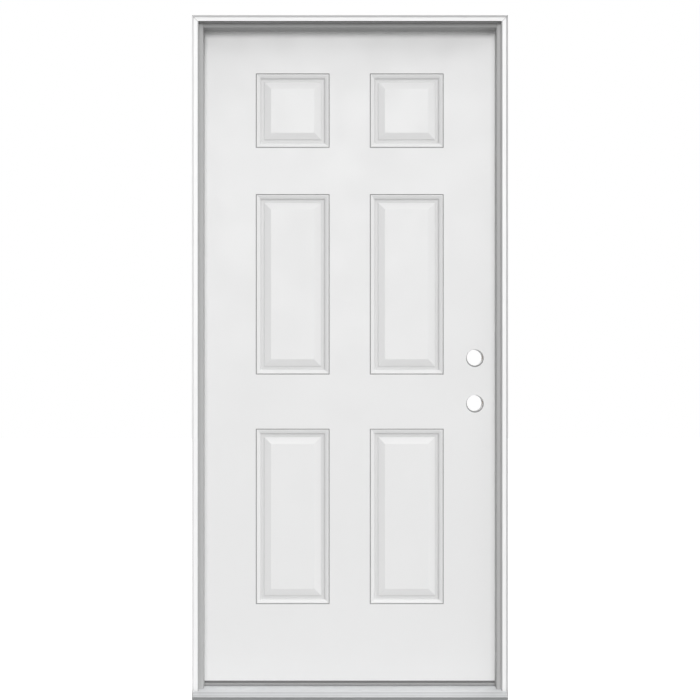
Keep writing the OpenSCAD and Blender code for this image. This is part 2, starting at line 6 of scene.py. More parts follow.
import bmesh
import bpy
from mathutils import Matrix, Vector


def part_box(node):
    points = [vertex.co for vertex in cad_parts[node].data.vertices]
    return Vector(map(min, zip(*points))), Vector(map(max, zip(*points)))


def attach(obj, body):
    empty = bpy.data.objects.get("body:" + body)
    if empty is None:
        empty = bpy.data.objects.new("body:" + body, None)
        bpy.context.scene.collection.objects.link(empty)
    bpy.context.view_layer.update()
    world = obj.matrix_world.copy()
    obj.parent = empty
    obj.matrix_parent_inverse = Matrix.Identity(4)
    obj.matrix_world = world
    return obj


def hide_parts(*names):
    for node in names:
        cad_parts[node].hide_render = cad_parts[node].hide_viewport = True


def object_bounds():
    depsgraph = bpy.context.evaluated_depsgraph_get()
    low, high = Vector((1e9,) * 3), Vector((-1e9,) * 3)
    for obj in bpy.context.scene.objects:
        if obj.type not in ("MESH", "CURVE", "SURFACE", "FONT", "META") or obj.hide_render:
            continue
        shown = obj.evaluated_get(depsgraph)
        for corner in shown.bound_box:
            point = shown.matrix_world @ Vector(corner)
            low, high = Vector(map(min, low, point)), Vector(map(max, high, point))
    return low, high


bl_info = {
    "name": "Panelled Front Door",
    "version": (1, 0, 0),
    "blender": (4, 5, 0),
    "location": "View3D > Sidebar > Front Door",
    "description": "Models and finishes a panelled front door with its frame and threshold",
    "category": "Object",
}

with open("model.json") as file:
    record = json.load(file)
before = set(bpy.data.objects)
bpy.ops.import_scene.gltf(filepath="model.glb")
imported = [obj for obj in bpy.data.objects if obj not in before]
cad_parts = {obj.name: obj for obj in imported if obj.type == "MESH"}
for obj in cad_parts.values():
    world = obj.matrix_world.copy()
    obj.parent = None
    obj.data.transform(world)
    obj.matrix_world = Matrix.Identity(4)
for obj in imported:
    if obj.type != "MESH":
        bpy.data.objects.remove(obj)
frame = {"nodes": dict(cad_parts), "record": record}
CAD_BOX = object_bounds()

MM = 0.001
NEAR = 0.1 * MM  # two places closer than this are the same place
SAME_POINT = 0.01 * MM
SHARP = 32  # degrees: steeper edges are rounded, or stay sharp
FLAT = 0.5  # degrees: faces that turn less than this become one
HINGES = ("top", "middle", "bottom")
SKIN_LOW, SKIN_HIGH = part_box("skin_exterior")
INDOOR_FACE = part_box("skin_interior")[1].y
BLOCK_LOW, BLOCK_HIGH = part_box("lock_block")
LEAF_MID_Y = (SKIN_LOW.y + INDOOR_FACE) / 2


def bore(name):
    """The centre and the radius of a bore that is one of the part's mounts."""
    mount = next(m for m in frame["record"]["mounts"] if m["name"] == name)
    return Vector(mount["pos_m"]), mount["dims"]["r_mm"] * MM


LOCK_BORES = (bore("latch_cross_bore"), bore("deadbolt_cross_bore"))


# ------------------------------------------------------------------ settings


def length(name, description, default, low=0.0, high=10.0):
    """A length that the user can set."""
    return bpy.props.FloatProperty(name=name, description=description, default=default, min=low,
                                   max=high, precision=5, subtype="DISTANCE", unit="LENGTH")


def number(name, description, default, low, high):
    """A plain number that the user can set."""
    return bpy.props.FloatProperty(name=name, description=description, default=default, min=low,
                                   max=high)


def colour(name, description, default):
    """A colour that the user can set."""
    return bpy.props.FloatVectorProperty(name=name, description=description, default=default,
                                         size=3, min=0.0, max=1.0, subtype="COLOR")


class DoorPanelSettings(bpy.types.PropertyGroup):
    """Layout and section of the six pressed panels"""

    stile_face: length("Stile Face", "Flat width beside the panels", 0.16585)
    mullion: length("Mullion", "Flat width between the two columns", 0.1232)
    top_margin: length("Top Rail", "Height of the rail above the panels", 0.1364)
    top_panel: length("Top Panel", "Height of the top panels", 0.2287)
    frieze_rail: length("Frieze Rail", "Height of the rail under the top panels", 0.1417)
    lock_rail: length("Lock Rail", "Height of the rail under the middle panels", 0.1658)
    bottom_panel: length("Bottom Panel", "Height of the bottom panels", 0.5384)
    bottom_margin: length("Bottom Rail", "Height of the rail under the panels", 0.2342)
    quirk_depth: length("Quirk Depth", "Depth of the fine groove round a panel", 0.00175)
    floor_depth: length("Floor Depth", "Depth of the sunk floor round a field", 0.0080)
    bevel_depth: length("Bevel Depth", "Depth of a raised panel's bevel at its outer edge", 0.0060)
    field_depth: length("Field Depth", "Depth of a raised field below the face", 0.0010)
    sheet: length("Sheet", "Thickness of the steel", 0.0006)
    turned_edge: length("Turned Edge", "Width of the edge turned round the stile", 0.009)


class DoorFinishSettings(bpy.types.PropertyGroup):
    """Colours of the finishes"""

    leaf: colour("Leaf", "Enamel on the steel skins", (0.82, 0.82, 0.82))
    trim: colour("Trim", "Rigid vinyl edge trim", (0.93, 0.93, 0.93))
    primer: colour("Primer", "Primer on the jambs", (0.47, 0.47, 0.47))
    pine: colour("Pine", "Light wood of the planed softwood", (0.66, 0.47, 0.28))
    seal: colour("Seal", "Skin of the compression seals", (0.80, 0.80, 0.79))
    aluminium: colour("Aluminium", "Mill aluminium of the threshold", (0.83, 0.84, 0.85))
    cap: colour("Cap", "Rigid vinyl of the adjustable cap", (0.34, 0.34, 0.34))
    sweep: colour("Sweep", "Flexible vinyl of the sweep", (0.20, 0.20, 0.20))
    hinge: colour("Hinges", "Satin nickel plate", (0.62, 0.60, 0.56))
    zinc: colour("Screws", "Zinc plate", (0.68, 0.69, 0.71))
    foam: colour("Foam", "Rigid foam core", (0.85, 0.74, 0.42))
    pad: colour("Pads", "Soft foam of the corner pads", (0.03, 0.03, 0.03))
    substrate: colour("Substrate", "Moulded block under the threshold", (0.10, 0.095, 0.09))


class DoorStageSettings(bpy.types.PropertyGroup):
    """Camera and light"""

    distance: length("Distance", "From the camera to the frame's front edge", 3.966, 0.5, 20.0)
    camera_x: length("Camera X", "Camera's place across the door", -0.060, -5.0, 5.0)
    camera_z: length("Camera Height", "Camera's height above the floor", 0.950, 0.0, 5.0)
    lens: number("Lens", "Focal length in millimetres", 67.7, 10.0, 300.0)
    shift_x: number("Shift X", "Sideways lens shift", 0.0284, -0.5, 0.5)
    shift_y: number("Shift Y", "Upward lens shift", 0.0526, -0.5, 0.5)
    key: number("Key", "Strength of the key light", 1.62, 0.0, 20.0)
    front: number("Front", "Strength of the light at the front", 1.16, 0.0, 20.0)
    back: number("Back", "Strength of the light from indoors", 1.4, 0.0, 20.0)
    ambient: number("Ambient", "Strength of the light all round", 0.28, 0.0, 5.0)


# ------------------------------------------------------------------ selecting and finishing


def only(piece):
    """Leaves a piece alone selected and active."""
    bpy.ops.object.select_all(action="DESELECT")
    piece.select_set(True)
    bpy.context.view_layer.objects.active = piece


def pick(piece, kind, test):
    """In edit mode, leaves selected just the faces, edges or verts that pass a test."""
    mesh = bmesh.from_edit_mesh(piece.data)
    bpy.ops.mesh.select_mode(type={"faces": "FACE", "edges": "EDGE", "verts": "VERT"}[kind])
    for item in mesh.verts[:] + mesh.edges[:] + mesh.faces[:]:
        item.select = False
    for item in getattr(mesh, kind):
        if test(item):
            item.select_set(True)
    mesh.select_flush_mode()
    bmesh.update_edit_mesh(piece.data)


def middle(edge):
    """The middle of an edge."""
    return (edge.verts[0].co + edge.verts[1].co) / 2


def modify(piece, kind, **settings):
    """Adds a modifier and applies it."""
    only(piece)
    modifier = piece.modifiers.new(kind.title(), kind)
    for key, value in settings.items():
        setattr(modifier, key, value)
    bpy.ops.object.modifier_apply(modifier=modifier.name)


def cut(piece, cutter):
    """Takes one closed piece out of another and removes the cutter."""
    modify(piece, "BOOLEAN", operation="DIFFERENCE", solver="EXACT", object=cutter)
    bpy.data.objects.remove(cutter, do_unlink=True)


def apply_place(piece):
    """Puts a piece's place, turn and size into its mesh."""
    only(piece)
    bpy.ops.object.transform_apply(location=True, rotation=True, scale=True)


def flat_faces_stay_flat(piece):
    """Smooths small faces and keeps the broad ones flat."""
    only(piece)
    bpy.ops.object.shade_smooth_by_angle(angle=math.radians(SHARP))
    modify(piece, "WEIGHTED_NORMAL", keep_sharp=True, weight=100, thresh=0.001)


def finish(piece, body, material, slot, node):
    """Gives a piece its material, its body, and the node that it stands for."""
    piece.data.materials.clear()
    piece.data.materials.append(material)
    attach(piece, body)
    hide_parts(node)


def softened(node, width, shape=None):
    """Copies a node of the fixed model, joins its facets, shapes it, and rounds its edges."""
    piece = bpy.data.objects.new("rounded_" + node, frame["nodes"][node].data.copy())
    bpy.context.scene.collection.objects.link(piece)
    only(piece)
    bpy.ops.mesh.customdata_custom_splitnormals_clear()
    bpy.ops.object.mode_set(mode="EDIT")
    bpy.ops.mesh.select_all(action="SELECT")
    bpy.ops.mesh.remove_doubles(threshold=SAME_POINT)
    bpy.ops.mesh.dissolve_limited(angle_limit=math.radians(FLAT))
    if shape:
        shape(piece)
    bpy.ops.object.mode_set(mode="OBJECT")
    modify(piece, "BEVEL", width=width, segments=2, limit_method="ANGLE",
           angle_limit=math.radians(SHARP), use_clamp_overlap=True)
    flat_faces_stay_flat(piece)
    return piece


def box_cutter(low, high):
    """A box between two corners, as a cutter."""
    bpy.ops.object.select_all(action="DESELECT")
    bpy.ops.mesh.primitive_cube_add(size=1, location=(Vector(low) + Vector(high)) / 2)
    cutter = bpy.context.object
    cutter.scale = Vector(high) - Vector(low)
    apply_place(cutter)
    return cutter


ROD_SIDES = 96


def rod_cutter(centre, radius, depth):
    """A round rod along Y, as a cutter."""
    bpy.ops.object.select_all(action="DESELECT")
    bpy.ops.mesh.primitive_cylinder_add(vertices=ROD_SIDES, radius=radius, depth=depth,
                                        location=centre, rotation=(math.pi / 2, 0, 0))
    cutter = bpy.context.object
    apply_place(cutter)
    return cutter


# ------------------------------------------------------------------ materials


class Finish:
    """A node material in the making, on object coordinates."""

    def __init__(self, name, **sockets):
        """Starts a material; the values are for sockets of the shader, named in lower case."""
        self.material = bpy.data.materials.new(name)
        self.material.use_nodes = True
        self.tree = self.material.node_tree
        self.shader = self.tree.nodes["Principled BSDF"]
        for key, value in sockets.items():
            self.shader.inputs[key.title()].default_value = value
        self.coords = self.add("ShaderNodeTexCoord").outputs["Object"]

    def add(self, kind, **settings):
        """Adds a node."""
        node = self.tree.nodes.new(kind)
        for key, value in settings.items():
            setattr(node, key, value)
        return node

    def link(self, source, target):
        """Links one socket to another."""
        self.tree.links.new(source, target)

    def feed(self, socket, value):
        """Gives a socket a number or another socket."""
        if isinstance(value, (int, float)):
            socket.default_value = value
        else:
            self.link(value, socket)

    def along(self, axis):
        """Coordinates drawn out along an axis, for grain and for the lines of drawing."""
        node = self.add("ShaderNodeMapping")
        node.inputs["Scale"].default_value = GRAIN[axis]
        self.link(self.coords, node.inputs["Vector"])
        return node.outputs["Vector"]

    def axes(self):
        """The three coordinates, each by itself."""
        node = self.add("ShaderNodeSeparateXYZ")
        self.link(self.coords, node.inputs["Vector"])
        return tuple(node.outputs)

    def noise(self, scale, detail=2.0, roughness=0.5, vector=None):
        """A noise pattern."""
        node = self.add("ShaderNodeTexNoise")
        node.inputs["Scale"].default_value = scale
        node.inputs["Detail"].default_value = detail
        node.inputs["Roughness"].default_value = roughness
        self.link(vector or self.coords, node.inputs["Vector"])
        return node.outputs["Fac"]

    def spread(self, value, low, high, source=(0.35, 0.65)):
        """Maps a pattern's middle range to a low and a high value."""
        node = self.add("ShaderNodeMapRange")
        for key, limit in zip(("From Min", "From Max", "To Min", "To Max"), (*source, low, high)):
            node.inputs[key].default_value = limit
        self.link(value, node.inputs["Value"])
        return node.outputs["Result"]

    def math(self, operation, first, second=0.0):
        """A sum or a test on one or two values."""
        node = self.add("ShaderNodeMath", operation=operation)
        self.feed(node.inputs[0], first)
        self.feed(node.inputs[1], second)
        return node.outputs["Value"]

    def ramp(self, value, stops):
        """Colours along a pattern: stops are (place, colour)."""
        node = self.add("ShaderNodeValToRGB")
        elements = node.color_ramp.elements
        while len(elements) < len(stops):
            elements.new(0.5)
        for element, (place, tone) in zip(elements, stops):
            element.position = place
            element.color = (*tone, 1)
        self.link(value, node.inputs["Fac"])
        return node.outputs["Color"]

    def mix(self, factor, first, second, blend="MIX"):
        """Mixes two colours, each a tone or a socket."""
        node = self.add("ShaderNodeMix", data_type="RGBA", blend_type=blend)
        self.feed(node.inputs["Factor"], factor)
        sockets = [s for s in node.inputs if s.type == "RGBA"]
        for socket, value in zip(sockets, (first, second)):
            if isinstance(value, tuple):
                socket.default_value = (*value, 1)
            else:
                self.link(value, socket)
        return next(s for s in node.outputs if s.type == "RGBA")

    def colour(self, value):
        """Sets the base colour."""
        self.link(value, self.shader.inputs["Base Color"])

    def over(self, factor, tone, blend="MIX"):
        """Lays another colour over the base colour where a factor is 1."""
        under = self.shader.inputs["Base Color"].links[0].from_socket
        self.colour(self.mix(factor, under, tone, blend))

    def roughness(self, value):
        """Sets the roughness."""
        self.link(value, self.shader.inputs["Roughness"])

    def bump(self, height, distance, strength, before=None):
        """Adds relief, on top of an earlier bump if there is one."""
        node = self.add("ShaderNodeBump")
        node.inputs["Distance"].default_value = distance
        node.inputs["Strength"].default_value = strength
        self.link(height, node.inputs["Height"])
        if before:
            self.link(before, node.inputs["Normal"])
        self.link(node.outputs["Normal"], self.shader.inputs["Normal"])
        return node.outputs["Normal"]


def shade(tone, factor):
    """A tone made darker or lighter."""
    return tuple(min(1.0, channel * factor) for channel in tone)


GRAIN = {"X": (1, 24, 24), "Y": (24, 1, 24), "Z": (24, 24, 1)}
# how dark the painted shade in the quirks and sunk floors is, where it is deepest
PAINTED_SHADE_TONE = 0.38


def enamel(name, tone):
    """Satin enamel on pressed steel: faint orange peel over a slightly uneven sheet, darkened as painted
    shade in the panels' quirks and sunk floors.
    """
    paint = Finish(name)
    coat = paint.ramp(paint.noise(3.0, 3.0), [(0.3, shade(tone, 0.985)), (0.7, tone)])
    # painted shade in the quirks and sunk floors, read from the sheet's points
    crevice = paint.add("ShaderNodeAttribute", attribute_name="crevice").outputs["Fac"]
    paint.colour(paint.mix(crevice, coat, shade(tone, PAINTED_SHADE_TONE)))
    paint.roughness(paint.spread(paint.noise(9.0, 4.0), 0.38, 0.46))
    sheet = paint.bump(paint.noise(2.2, 1.0), 0.0006, 0.6)
    paint.bump(paint.noise(520.0, 2.0), 0.00003, 0.5, sheet)
    return paint


def vinyl(name, tone, low, high, axis):
    """Extruded vinyl with faint lines along its length, its roughness from low to high."""
    plastic = Finish(name)
    along = plastic.along(axis)
    plastic.colour(plastic.ramp(plastic.noise(14.0, 3.0, vector=along),
                                [(0.25, shade(tone, 0.95)), (0.75, shade(tone, 1.02))]))
    plastic.roughness(plastic.spread(plastic.noise(40.0, 3.0, vector=along), low, high))
    drawn = plastic.bump(plastic.noise(60.0, 2.0, vector=along), 0.00002, 0.6)
    plastic.bump(plastic.noise(900.0, 2.0), 0.00002, 0.35, drawn)
    return plastic


def primer(name, tone, axis):
    """Grey primer brushed on softwood: the grain still reads through it."""
    coat = Finish(name)
    along = coat.along(axis)
    streaks = coat.noise(9.0, 5.0, 0.6, vector=along)
    coat.colour(coat.ramp(streaks, [(0.25, shade(tone, 0.94)), (0.8, shade(tone, 1.05))]))
    coat.roughness(coat.spread(streaks, 0.52, 0.66))
    grain = coat.bump(coat.noise(26.0, 6.0, 0.65, vector=along), 0.00010, 0.5)
    coat.bump(coat.noise(700.0, 2.0), 0.00003, 0.4, grain)
    return coat


def pine(name, tone, axis):
    """Planed softwood: growth rings cut along the grain, with darker late wood and pores."""
    wood = Finish(name)
    along = wood.along(axis)
    drift = wood.noise(1.1, 3.0, vector=along)
    rings = wood.math("FRACT", wood.math("MULTIPLY", drift, 11.0))
    late = wood.ramp(rings, [(0.0, shade(tone, 1.10)), (0.62, tone), (0.9, shade(tone, 0.66)),
                             (1.0, shade(tone, 1.05))])
    fibre = wood.noise(22.0, 6.0, 0.7, vector=along)
    wood.colour(wood.mix(wood.spread(fibre, 0.0, 0.35), late, shade(tone, 0.72)))
    wood.roughness(wood.spread(fibre, 0.55, 0.75))
    wood.bump(fibre, 0.00012, 0.6)
    return wood


# the bores' dark rims are painted shade, their walls within painted light
BORE_RIM_PAINTED_SHADE = 0.7 * MM  # how far the dark rim of a bore runs in
BORE_WALL_PAINTED_LIGHT = 2.7


def bored_pine(name, tone, axis, sealer):
    """Planed softwood whose two bores are sealed, dark at their rims as painted shade and light within
    as painted light.
    """
    block = pine(name, tone, axis)
    x, y, z = block.axes()
    near = 0.0
    for centre, radius in LOCK_BORES:
        across = block.math("SUBTRACT", x, centre.x)
        up = block.math("SUBTRACT", z, centre.z)
        away = block.math("SQRT", block.math("ADD", block.math("MULTIPLY", across, across),
                                             block.math("MULTIPLY", up, up)))
        near = block.math("MAXIMUM", near, block.math("LESS_THAN", away, radius))
    off_centre = block.math("ABSOLUTE", block.math("SUBTRACT", y, LEAF_MID_Y))
    rim = block.math("GREATER_THAN", off_centre, (BLOCK_HIGH.y - BLOCK_LOW.y) / 2 - BORE_RIM_PAINTED_SHADE)
    # painted shade at the rims, painted light on the walls within
    block.over(near, block.mix(rim, shade(sealer, BORE_WALL_PAINTED_LIGHT), sealer))
    return block


# the trim's sloping rim is darkened as painted shade
TRIM_RIM_PAINTED_SHADE = 5.2 * MM  # width of the trim's sloping rim
MITRE_LINE = 0.9 * MM  # half the width of the line at a mitre, measured level


def trim_vinyl(name, tone, axis):
    """Edge trim, its sloping outer rim a little greyer as painted shade, its mitred corners marked with
    darker joint lines.
    """
    trim = vinyl(name, tone, 0.32, 0.42, axis)
    x, _, z = trim.axes()
    across = trim.math("SUBTRACT", trim.math("ABSOLUTE", x), CAD_BOX[1][0])
    up = trim.math("SUBTRACT", z, CAD_BOX[1][2])
    rim = trim.math("GREATER_THAN", trim.math("MAXIMUM", across, up), -TRIM_RIM_PAINTED_SHADE)
    off_mitre = trim.math("ABSOLUTE", trim.math("SUBTRACT", across, up))
    # painted shade on the sloping outer rim
    trim.over(rim, shade(tone, 0.80))
    trim.over(trim.math("LESS_THAN", off_mitre, MITRE_LINE), shade(tone, 0.55))
    return trim


# how far the painted shadow along the head's front edge runs back
HEAD_EDGE_PAINTED_SHADOW = 0.6 * MM  # how far the head's shaded edge runs back


def head_primer(name, tone):
    """Primer on the head, with a painted shadow along the edge that the trim shades."""
    coat = primer(name, tone, "X")
    front = min(vertex.co.y for vertex in frame["nodes"]["head_jamb"].data.vertices)
    # painted shadow of the trim along the head's front edge
    coat.over(coat.math("LESS_THAN", coat.axes()[1], front + HEAD_EDGE_PAINTED_SHADOW), shade(tone, 0.15))
    return coat


def drawn_metal(name, tone, low, high, axis, metallic=1.0):
    """Metal with fine lines along the way it was drawn or brushed, its roughness from low to high."""
    metal = Finish(name, metallic=metallic)
    fine = metal.noise(90.0, 4.0, 0.6, vector=metal.along(axis))
    metal.colour(metal.ramp(metal.noise(6.0, 4.0), [(0.2, shade(tone, 0.93)), (0.8, tone)]))
    metal.roughness(metal.spread(fine, low, high))
    metal.bump(fine, 0.00002, 0.6)
    return metal


# how far the bands of painted highlight and painted shade run back from the nose
DECK_PAINTED_REACH = 40 * MM  # how far the bands run back from the nose
DECK_PAINTED_LIGHT = (
    # share of that way, brightness: painted shade on the nose's front face, painted highlights on the
    # nose's edge and the crest
    (0.0, 0.34), (0.03, 0.36), (0.04, 1.0), (0.08, 1.0), (0.11, 0.84), (0.26, 0.86), (0.33, 0.97),
    (0.42, 0.86), (0.58, 0.84), (0.64, 1.0), (0.74, 0.98), (0.80, 0.90), (1.0, 0.98),
)


def deck_aluminium(name, tone):
    """Mill aluminium with broad bands of painted light: painted highlights, brightest at the two crests,
    and painted shade on the nose's front face.
    """
    deck = drawn_metal(name, tone, 0.46, 0.60, "X", metallic=0.7)
    front = CAD_BOX[0][1]
    place = deck.spread(deck.axes()[1], 0.0, 1.0, source=(front, front + DECK_PAINTED_REACH))
    painted_light_bands = [(share, (gain, gain, gain)) for share, gain in DECK_PAINTED_LIGHT]
    # painted highlights and painted shade across the deck
    deck.over(1.0, deck.ramp(place, painted_light_bands), "MULTIPLY")
    return deck


def foam(name, tone):
    """Rigid foam with its fine closed cells."""
    core = Finish(name)
    cells = core.add("ShaderNodeTexVoronoi")
    cells.inputs["Scale"].default_value = 420.0
    core.link(core.coords, cells.inputs["Vector"])
    core.colour(core.ramp(cells.outputs["Distance"], [(0.0, shade(tone, 0.8)), (0.6, tone)]))
    core.roughness(core.spread(core.noise(30.0), 0.75, 0.9))
    core.bump(cells.outputs["Distance"], 0.0004, 0.7)
    return core


def speckled(name, tone, low, high):
    """Moulded composite with a coarse grain, its roughness from low to high."""
    block = Finish(name)
    block.colour(block.ramp(block.noise(260.0, 4.0),
                            [(0.3, shade(tone, 0.7)), (0.7, shade(tone, 1.4))]))
    block.roughness(block.spread(block.noise(60.0, 3.0), low, high))
    block.bump(block.noise(300.0, 3.0), 0.0002, 0.6)
    return block


MATERIALS = {}
# the head's primer is darker than the sides' primer, as painted shade
HEAD_PAINTED_SHADE = 0.76
SEALER_SHADE = 0.62


def materials():
    """All finishes by name, made once."""
    if not MATERIALS:
        tones = {key: tuple(getattr(bpy.context.scene.door_finishes, key))
                 for key in DoorFinishSettings.__annotations__}
        # the sealer's dark tone is the painted shade at the bores' rims
        sealer = shade(tones["primer"], SEALER_SHADE)
        finishes = {
            "leaf": enamel("leaf enamel", tones["leaf"]),
            "trim_upright": trim_vinyl("trim vinyl upright", tones["trim"], "Z"),
            "trim_level": trim_vinyl("trim vinyl level", tones["trim"], "X"),
            "primer_upright": primer("primer upright", tones["primer"], "Z"),
            # the head's primer, darker than the sides' primer as painted shade
            "primer_level": head_primer("primer level", shade(tones["primer"], HEAD_PAINTED_SHADE)),
            "pine_upright": pine("pine upright", tones["pine"], "Z"),
            "pine_level": pine("pine level", tones["pine"], "X"),
            "bored_upright": bored_pine("bored pine upright", tones["pine"], "Z", sealer),
            "bored_level": bored_pine("bored pine level", tones["pine"], "X", sealer),
            "seal_upright": vinyl("seal vinyl upright", tones["seal"], 0.5, 0.6, "Z"),
            "seal_level": vinyl("seal vinyl level", tones["seal"], 0.5, 0.6, "X"),
            "aluminium": deck_aluminium("mill aluminium", tones["aluminium"]),
            "cap": vinyl("cap vinyl", tones["cap"], 0.45, 0.58, "X"),
            "sweep": vinyl("sweep vinyl", tones["sweep"], 0.5, 0.62, "X"),
            "hinge": drawn_metal("satin nickel", tones["hinge"], 0.26, 0.38, "Z"),
            "zinc": drawn_metal("zinc plate", tones["zinc"], 0.3, 0.42, "Y"),
            "foam": foam("rigid foam", tones["foam"]),
            "pad": speckled("pad foam", tones["pad"], 0.8, 0.95),
            "substrate": speckled("composite", tones["substrate"], 0.6, 0.8),
        }
        MATERIALS.update({key: finish.material for key, finish in finishes.items()})
    return MATERIALS


# ------------------------------------------------------------------ leaf


PRESSED_RADIUS = 0.6 * MM
CORNER_STEPS = 3
CORNER_REACH = 0.45  # of the straight before or after a corner, at most
NARROWEST = 0.02 * MM  # step inwards in pressing
TURNED_RADIUS = 1.1 * MM


def fillet(points, radius):
    """Rounds the inner corners of a section, given as (inwards, depth) points."""
    rounded = [points[0]]
    for before, corner, after in zip(points, points[1:], points[2:]):
        before, corner, after = Vector(before), Vector(corner), Vector(after)
        straight = min((before - corner).length, (after - corner).length)
        reach = min(radius, straight * CORNER_REACH)
        start = corner + (before - corner).normalized() * reach
        end = corner + (after - corner).normalized() * reach
        for step in range(CORNER_STEPS + 1):
            t = step / CORNER_STEPS
            rounded.append(tuple(start.lerp(corner, t).lerp(corner.lerp(end, t), t)))
    rounded.append(points[-1])
    return rounded


def panel_section(settings):
    """The pressing's section from a panel's outline inwards, as (inwards, depth)."""
    quirk = settings.quirk_depth
    floor = settings.floor_depth
    bevel = settings.bevel_depth
    field = settings.field_depth
    return fillet([
        (0.0, 0.0), (0.0009, quirk * 0.74), (0.0015, quirk), (0.0022, quirk * 0.74),  # quirk
        (0.0032, 0.0005), (0.0052, 0.0004),  # bead
        (0.0130, 0.0034), (0.0168, floor - 0.0002),  # ovolo
        (0.0180, floor), (0.0255, floor),  # sunk floor
        (0.0268, bevel + 0.0004), (0.0285, bevel), (0.0450, field + 0.0005),  # bevel
        (0.0470, field), (0.0530, field),  # raised field
    ], PRESSED_RADIUS)


PAINTED_SHADE_STEPS = (
    # distance inwards from a panel's outline, how deep the painted shade is: the quirk, then the sunk
    # floor
    (0.0, 0.0), (0.0005, 1.0), (0.0026, 1.0), (0.0033, 0.0),
    (0.0120, 0.0), (0.0165, 0.26), (0.0255, 0.26), (0.0275, 0.04), (0.0340, 0.0),
)


def shade_painted_at(distance):
    """How deep the painted shade on the sheet is at a distance inwards from a panel's outline."""
    for (u0, v0), (u1, v1) in zip(PAINTED_SHADE_STEPS, PAINTED_SHADE_STEPS[1:]):
        if u0 <= distance <= u1:
            return v0 + (v1 - v0) * (distance - u0) / (u1 - u0)
    return 0.0


def store_painted_shade(sheet, columns, rows):
    """Stores the painted shade of the quirks and sunk floors on the sheet's points, for its finish to
    read.
    """
    shade_map = sheet.data.attributes.new("crevice", "FLOAT", "POINT")
    for vertex in sheet.data.vertices:
        for low_x, high_x in columns:
            for low_z, high_z in rows:
                inside = min(vertex.co.x - low_x, high_x - vertex.co.x,
                             vertex.co.z - low_z, high_z - vertex.co.z)
                if inside > 0:
                    shade_map.data[vertex.index].value = shade_painted_at(inside)


def panel_columns(settings):
    """The left and right of each column of panels, on a face with its middle at x = 0."""
    outer = (SKIN_HIGH.x - SKIN_LOW.x) / 2 - settings.stile_face
    inner = settings.mullion / 2
    return [(-outer, -inner), (inner, outer)]


def panel_rows(settings):
    """The bottom and top of each row of panels."""
    low = SKIN_LOW.z + settings.bottom_margin
    top = SKIN_HIGH.z - settings.top_margin
    middle_low = low + settings.bottom_panel + settings.lock_rail
    top_low = top - settings.top_panel
    return [(low, low + settings.bottom_panel), (middle_low, top_low - settings.frieze_rail),
            (top_low, top)]


def press_panels(sheet, columns, rows, section):
    """In edit mode, presses a section into a flat sheet inside each column and row."""
    for x in (x for column in columns for x in column):
        bpy.ops.mesh.select_all(action="SELECT")
        bpy.ops.mesh.bisect(plane_co=(x, 0, 0), plane_no=(1, 0, 0))
    for z in (z for row in rows for z in row):
        bpy.ops.mesh.select_all(action="SELECT")
        bpy.ops.mesh.bisect(plane_co=(0, 0, z), plane_no=(0, 0, 1))

    def in_panel(face):
        place = face.calc_center_median()
        return (any(low < place.x < high for low, high in columns)
                and any(low < place.z < high for low, high in rows))

    pick(sheet, "faces", in_panel)
    for (inwards, depth), (next_inwards, next_depth) in zip(section, section[1:]):
        bpy.ops.mesh.inset(thickness=max(next_inwards - inwards, NARROWEST),
                           depth=depth - next_depth, use_even_offset=True)

    def on_mitre(edge):
        span = edge.verts[0].co - edge.verts[1].co
        return abs(span.x) > NEAR / 10 and abs(abs(span.x) - abs(span.z)) < NEAR / 20

    pick(sheet, "edges", on_mitre)
    bpy.ops.mesh.mark_sharp()


def turn_edges(sheet, turned):
    """In edit mode, turns the sheet's two long edges in round the stiles."""
    half = (SKIN_HIGH.x - SKIN_LOW.x) / 2

    def on_side(edge):
        return abs(abs(middle(edge).x) - half) < NEAR

    def on_corner(edge):
        return (on_side(edge) and not edge.is_boundary and abs(middle(edge).y - SKIN_LOW.y) < NEAR
                and abs(edge.verts[0].co.x - edge.verts[1].co.x) < NEAR)

    pick(sheet, "edges", lambda edge: edge.is_boundary and on_side(edge))
    bpy.ops.mesh.extrude_edges_move(TRANSFORM_OT_translate={"value": (0, turned, 0)})
    pick(sheet, "edges", on_corner)
    bpy.ops.mesh.bevel(offset=TURNED_RADIUS, segments=4, affect="EDGES")


def press_sheet(name, settings):
    """A sheet over the exterior face with the six panels pressed in, its long edges turned in."""
    bpy.ops.object.select_all(action="DESELECT")
    bpy.ops.mesh.primitive_plane_add(
        size=1, location=((SKIN_LOW.x + SKIN_HIGH.x) / 2, SKIN_LOW.y, (SKIN_LOW.z + SKIN_HIGH.z) / 2),
        rotation=(math.pi / 2, 0, 0))
    sheet = bpy.context.object
    sheet.name = name
    sheet.scale = (SKIN_HIGH.x - SKIN_LOW.x, SKIN_HIGH.z - SKIN_LOW.z, 1)
    apply_place(sheet)

    columns = panel_columns(settings)
    rows = panel_rows(settings)
    bpy.ops.object.mode_set(mode="EDIT")
    press_panels(sheet, columns, rows, panel_section(settings))
    turn_edges(sheet, settings.turned_edge)
    bpy.ops.object.mode_set(mode="OBJECT")
    # painted shade in the quirks and sunk floors
    store_painted_shade(sheet, columns, rows)
    modify(sheet, "SOLIDIFY", thickness=settings.sheet, offset=-1, use_even_offset=True)
    return sheet


def turned_indoors(sheet, name):
    """A copy of the exterior sheet, mirrored to the leaf's indoor face."""
    indoors = bpy.data.objects.new(name, sheet.data.copy())
    bpy.context.scene.collection.objects.link(indoors)
    only(indoors)
    bpy.ops.object.mode_set(mode="EDIT")
    bpy.ops.mesh.select_all(action="SELECT")
    bpy.ops.transform.mirror(constraint_axis=(False, True, False),
                             center_override=(0, LEAF_MID_Y, 0))
    bpy.ops.mesh.flip_normals()
    bpy.ops.object.mode_set(mode="OBJECT")
    return indoors


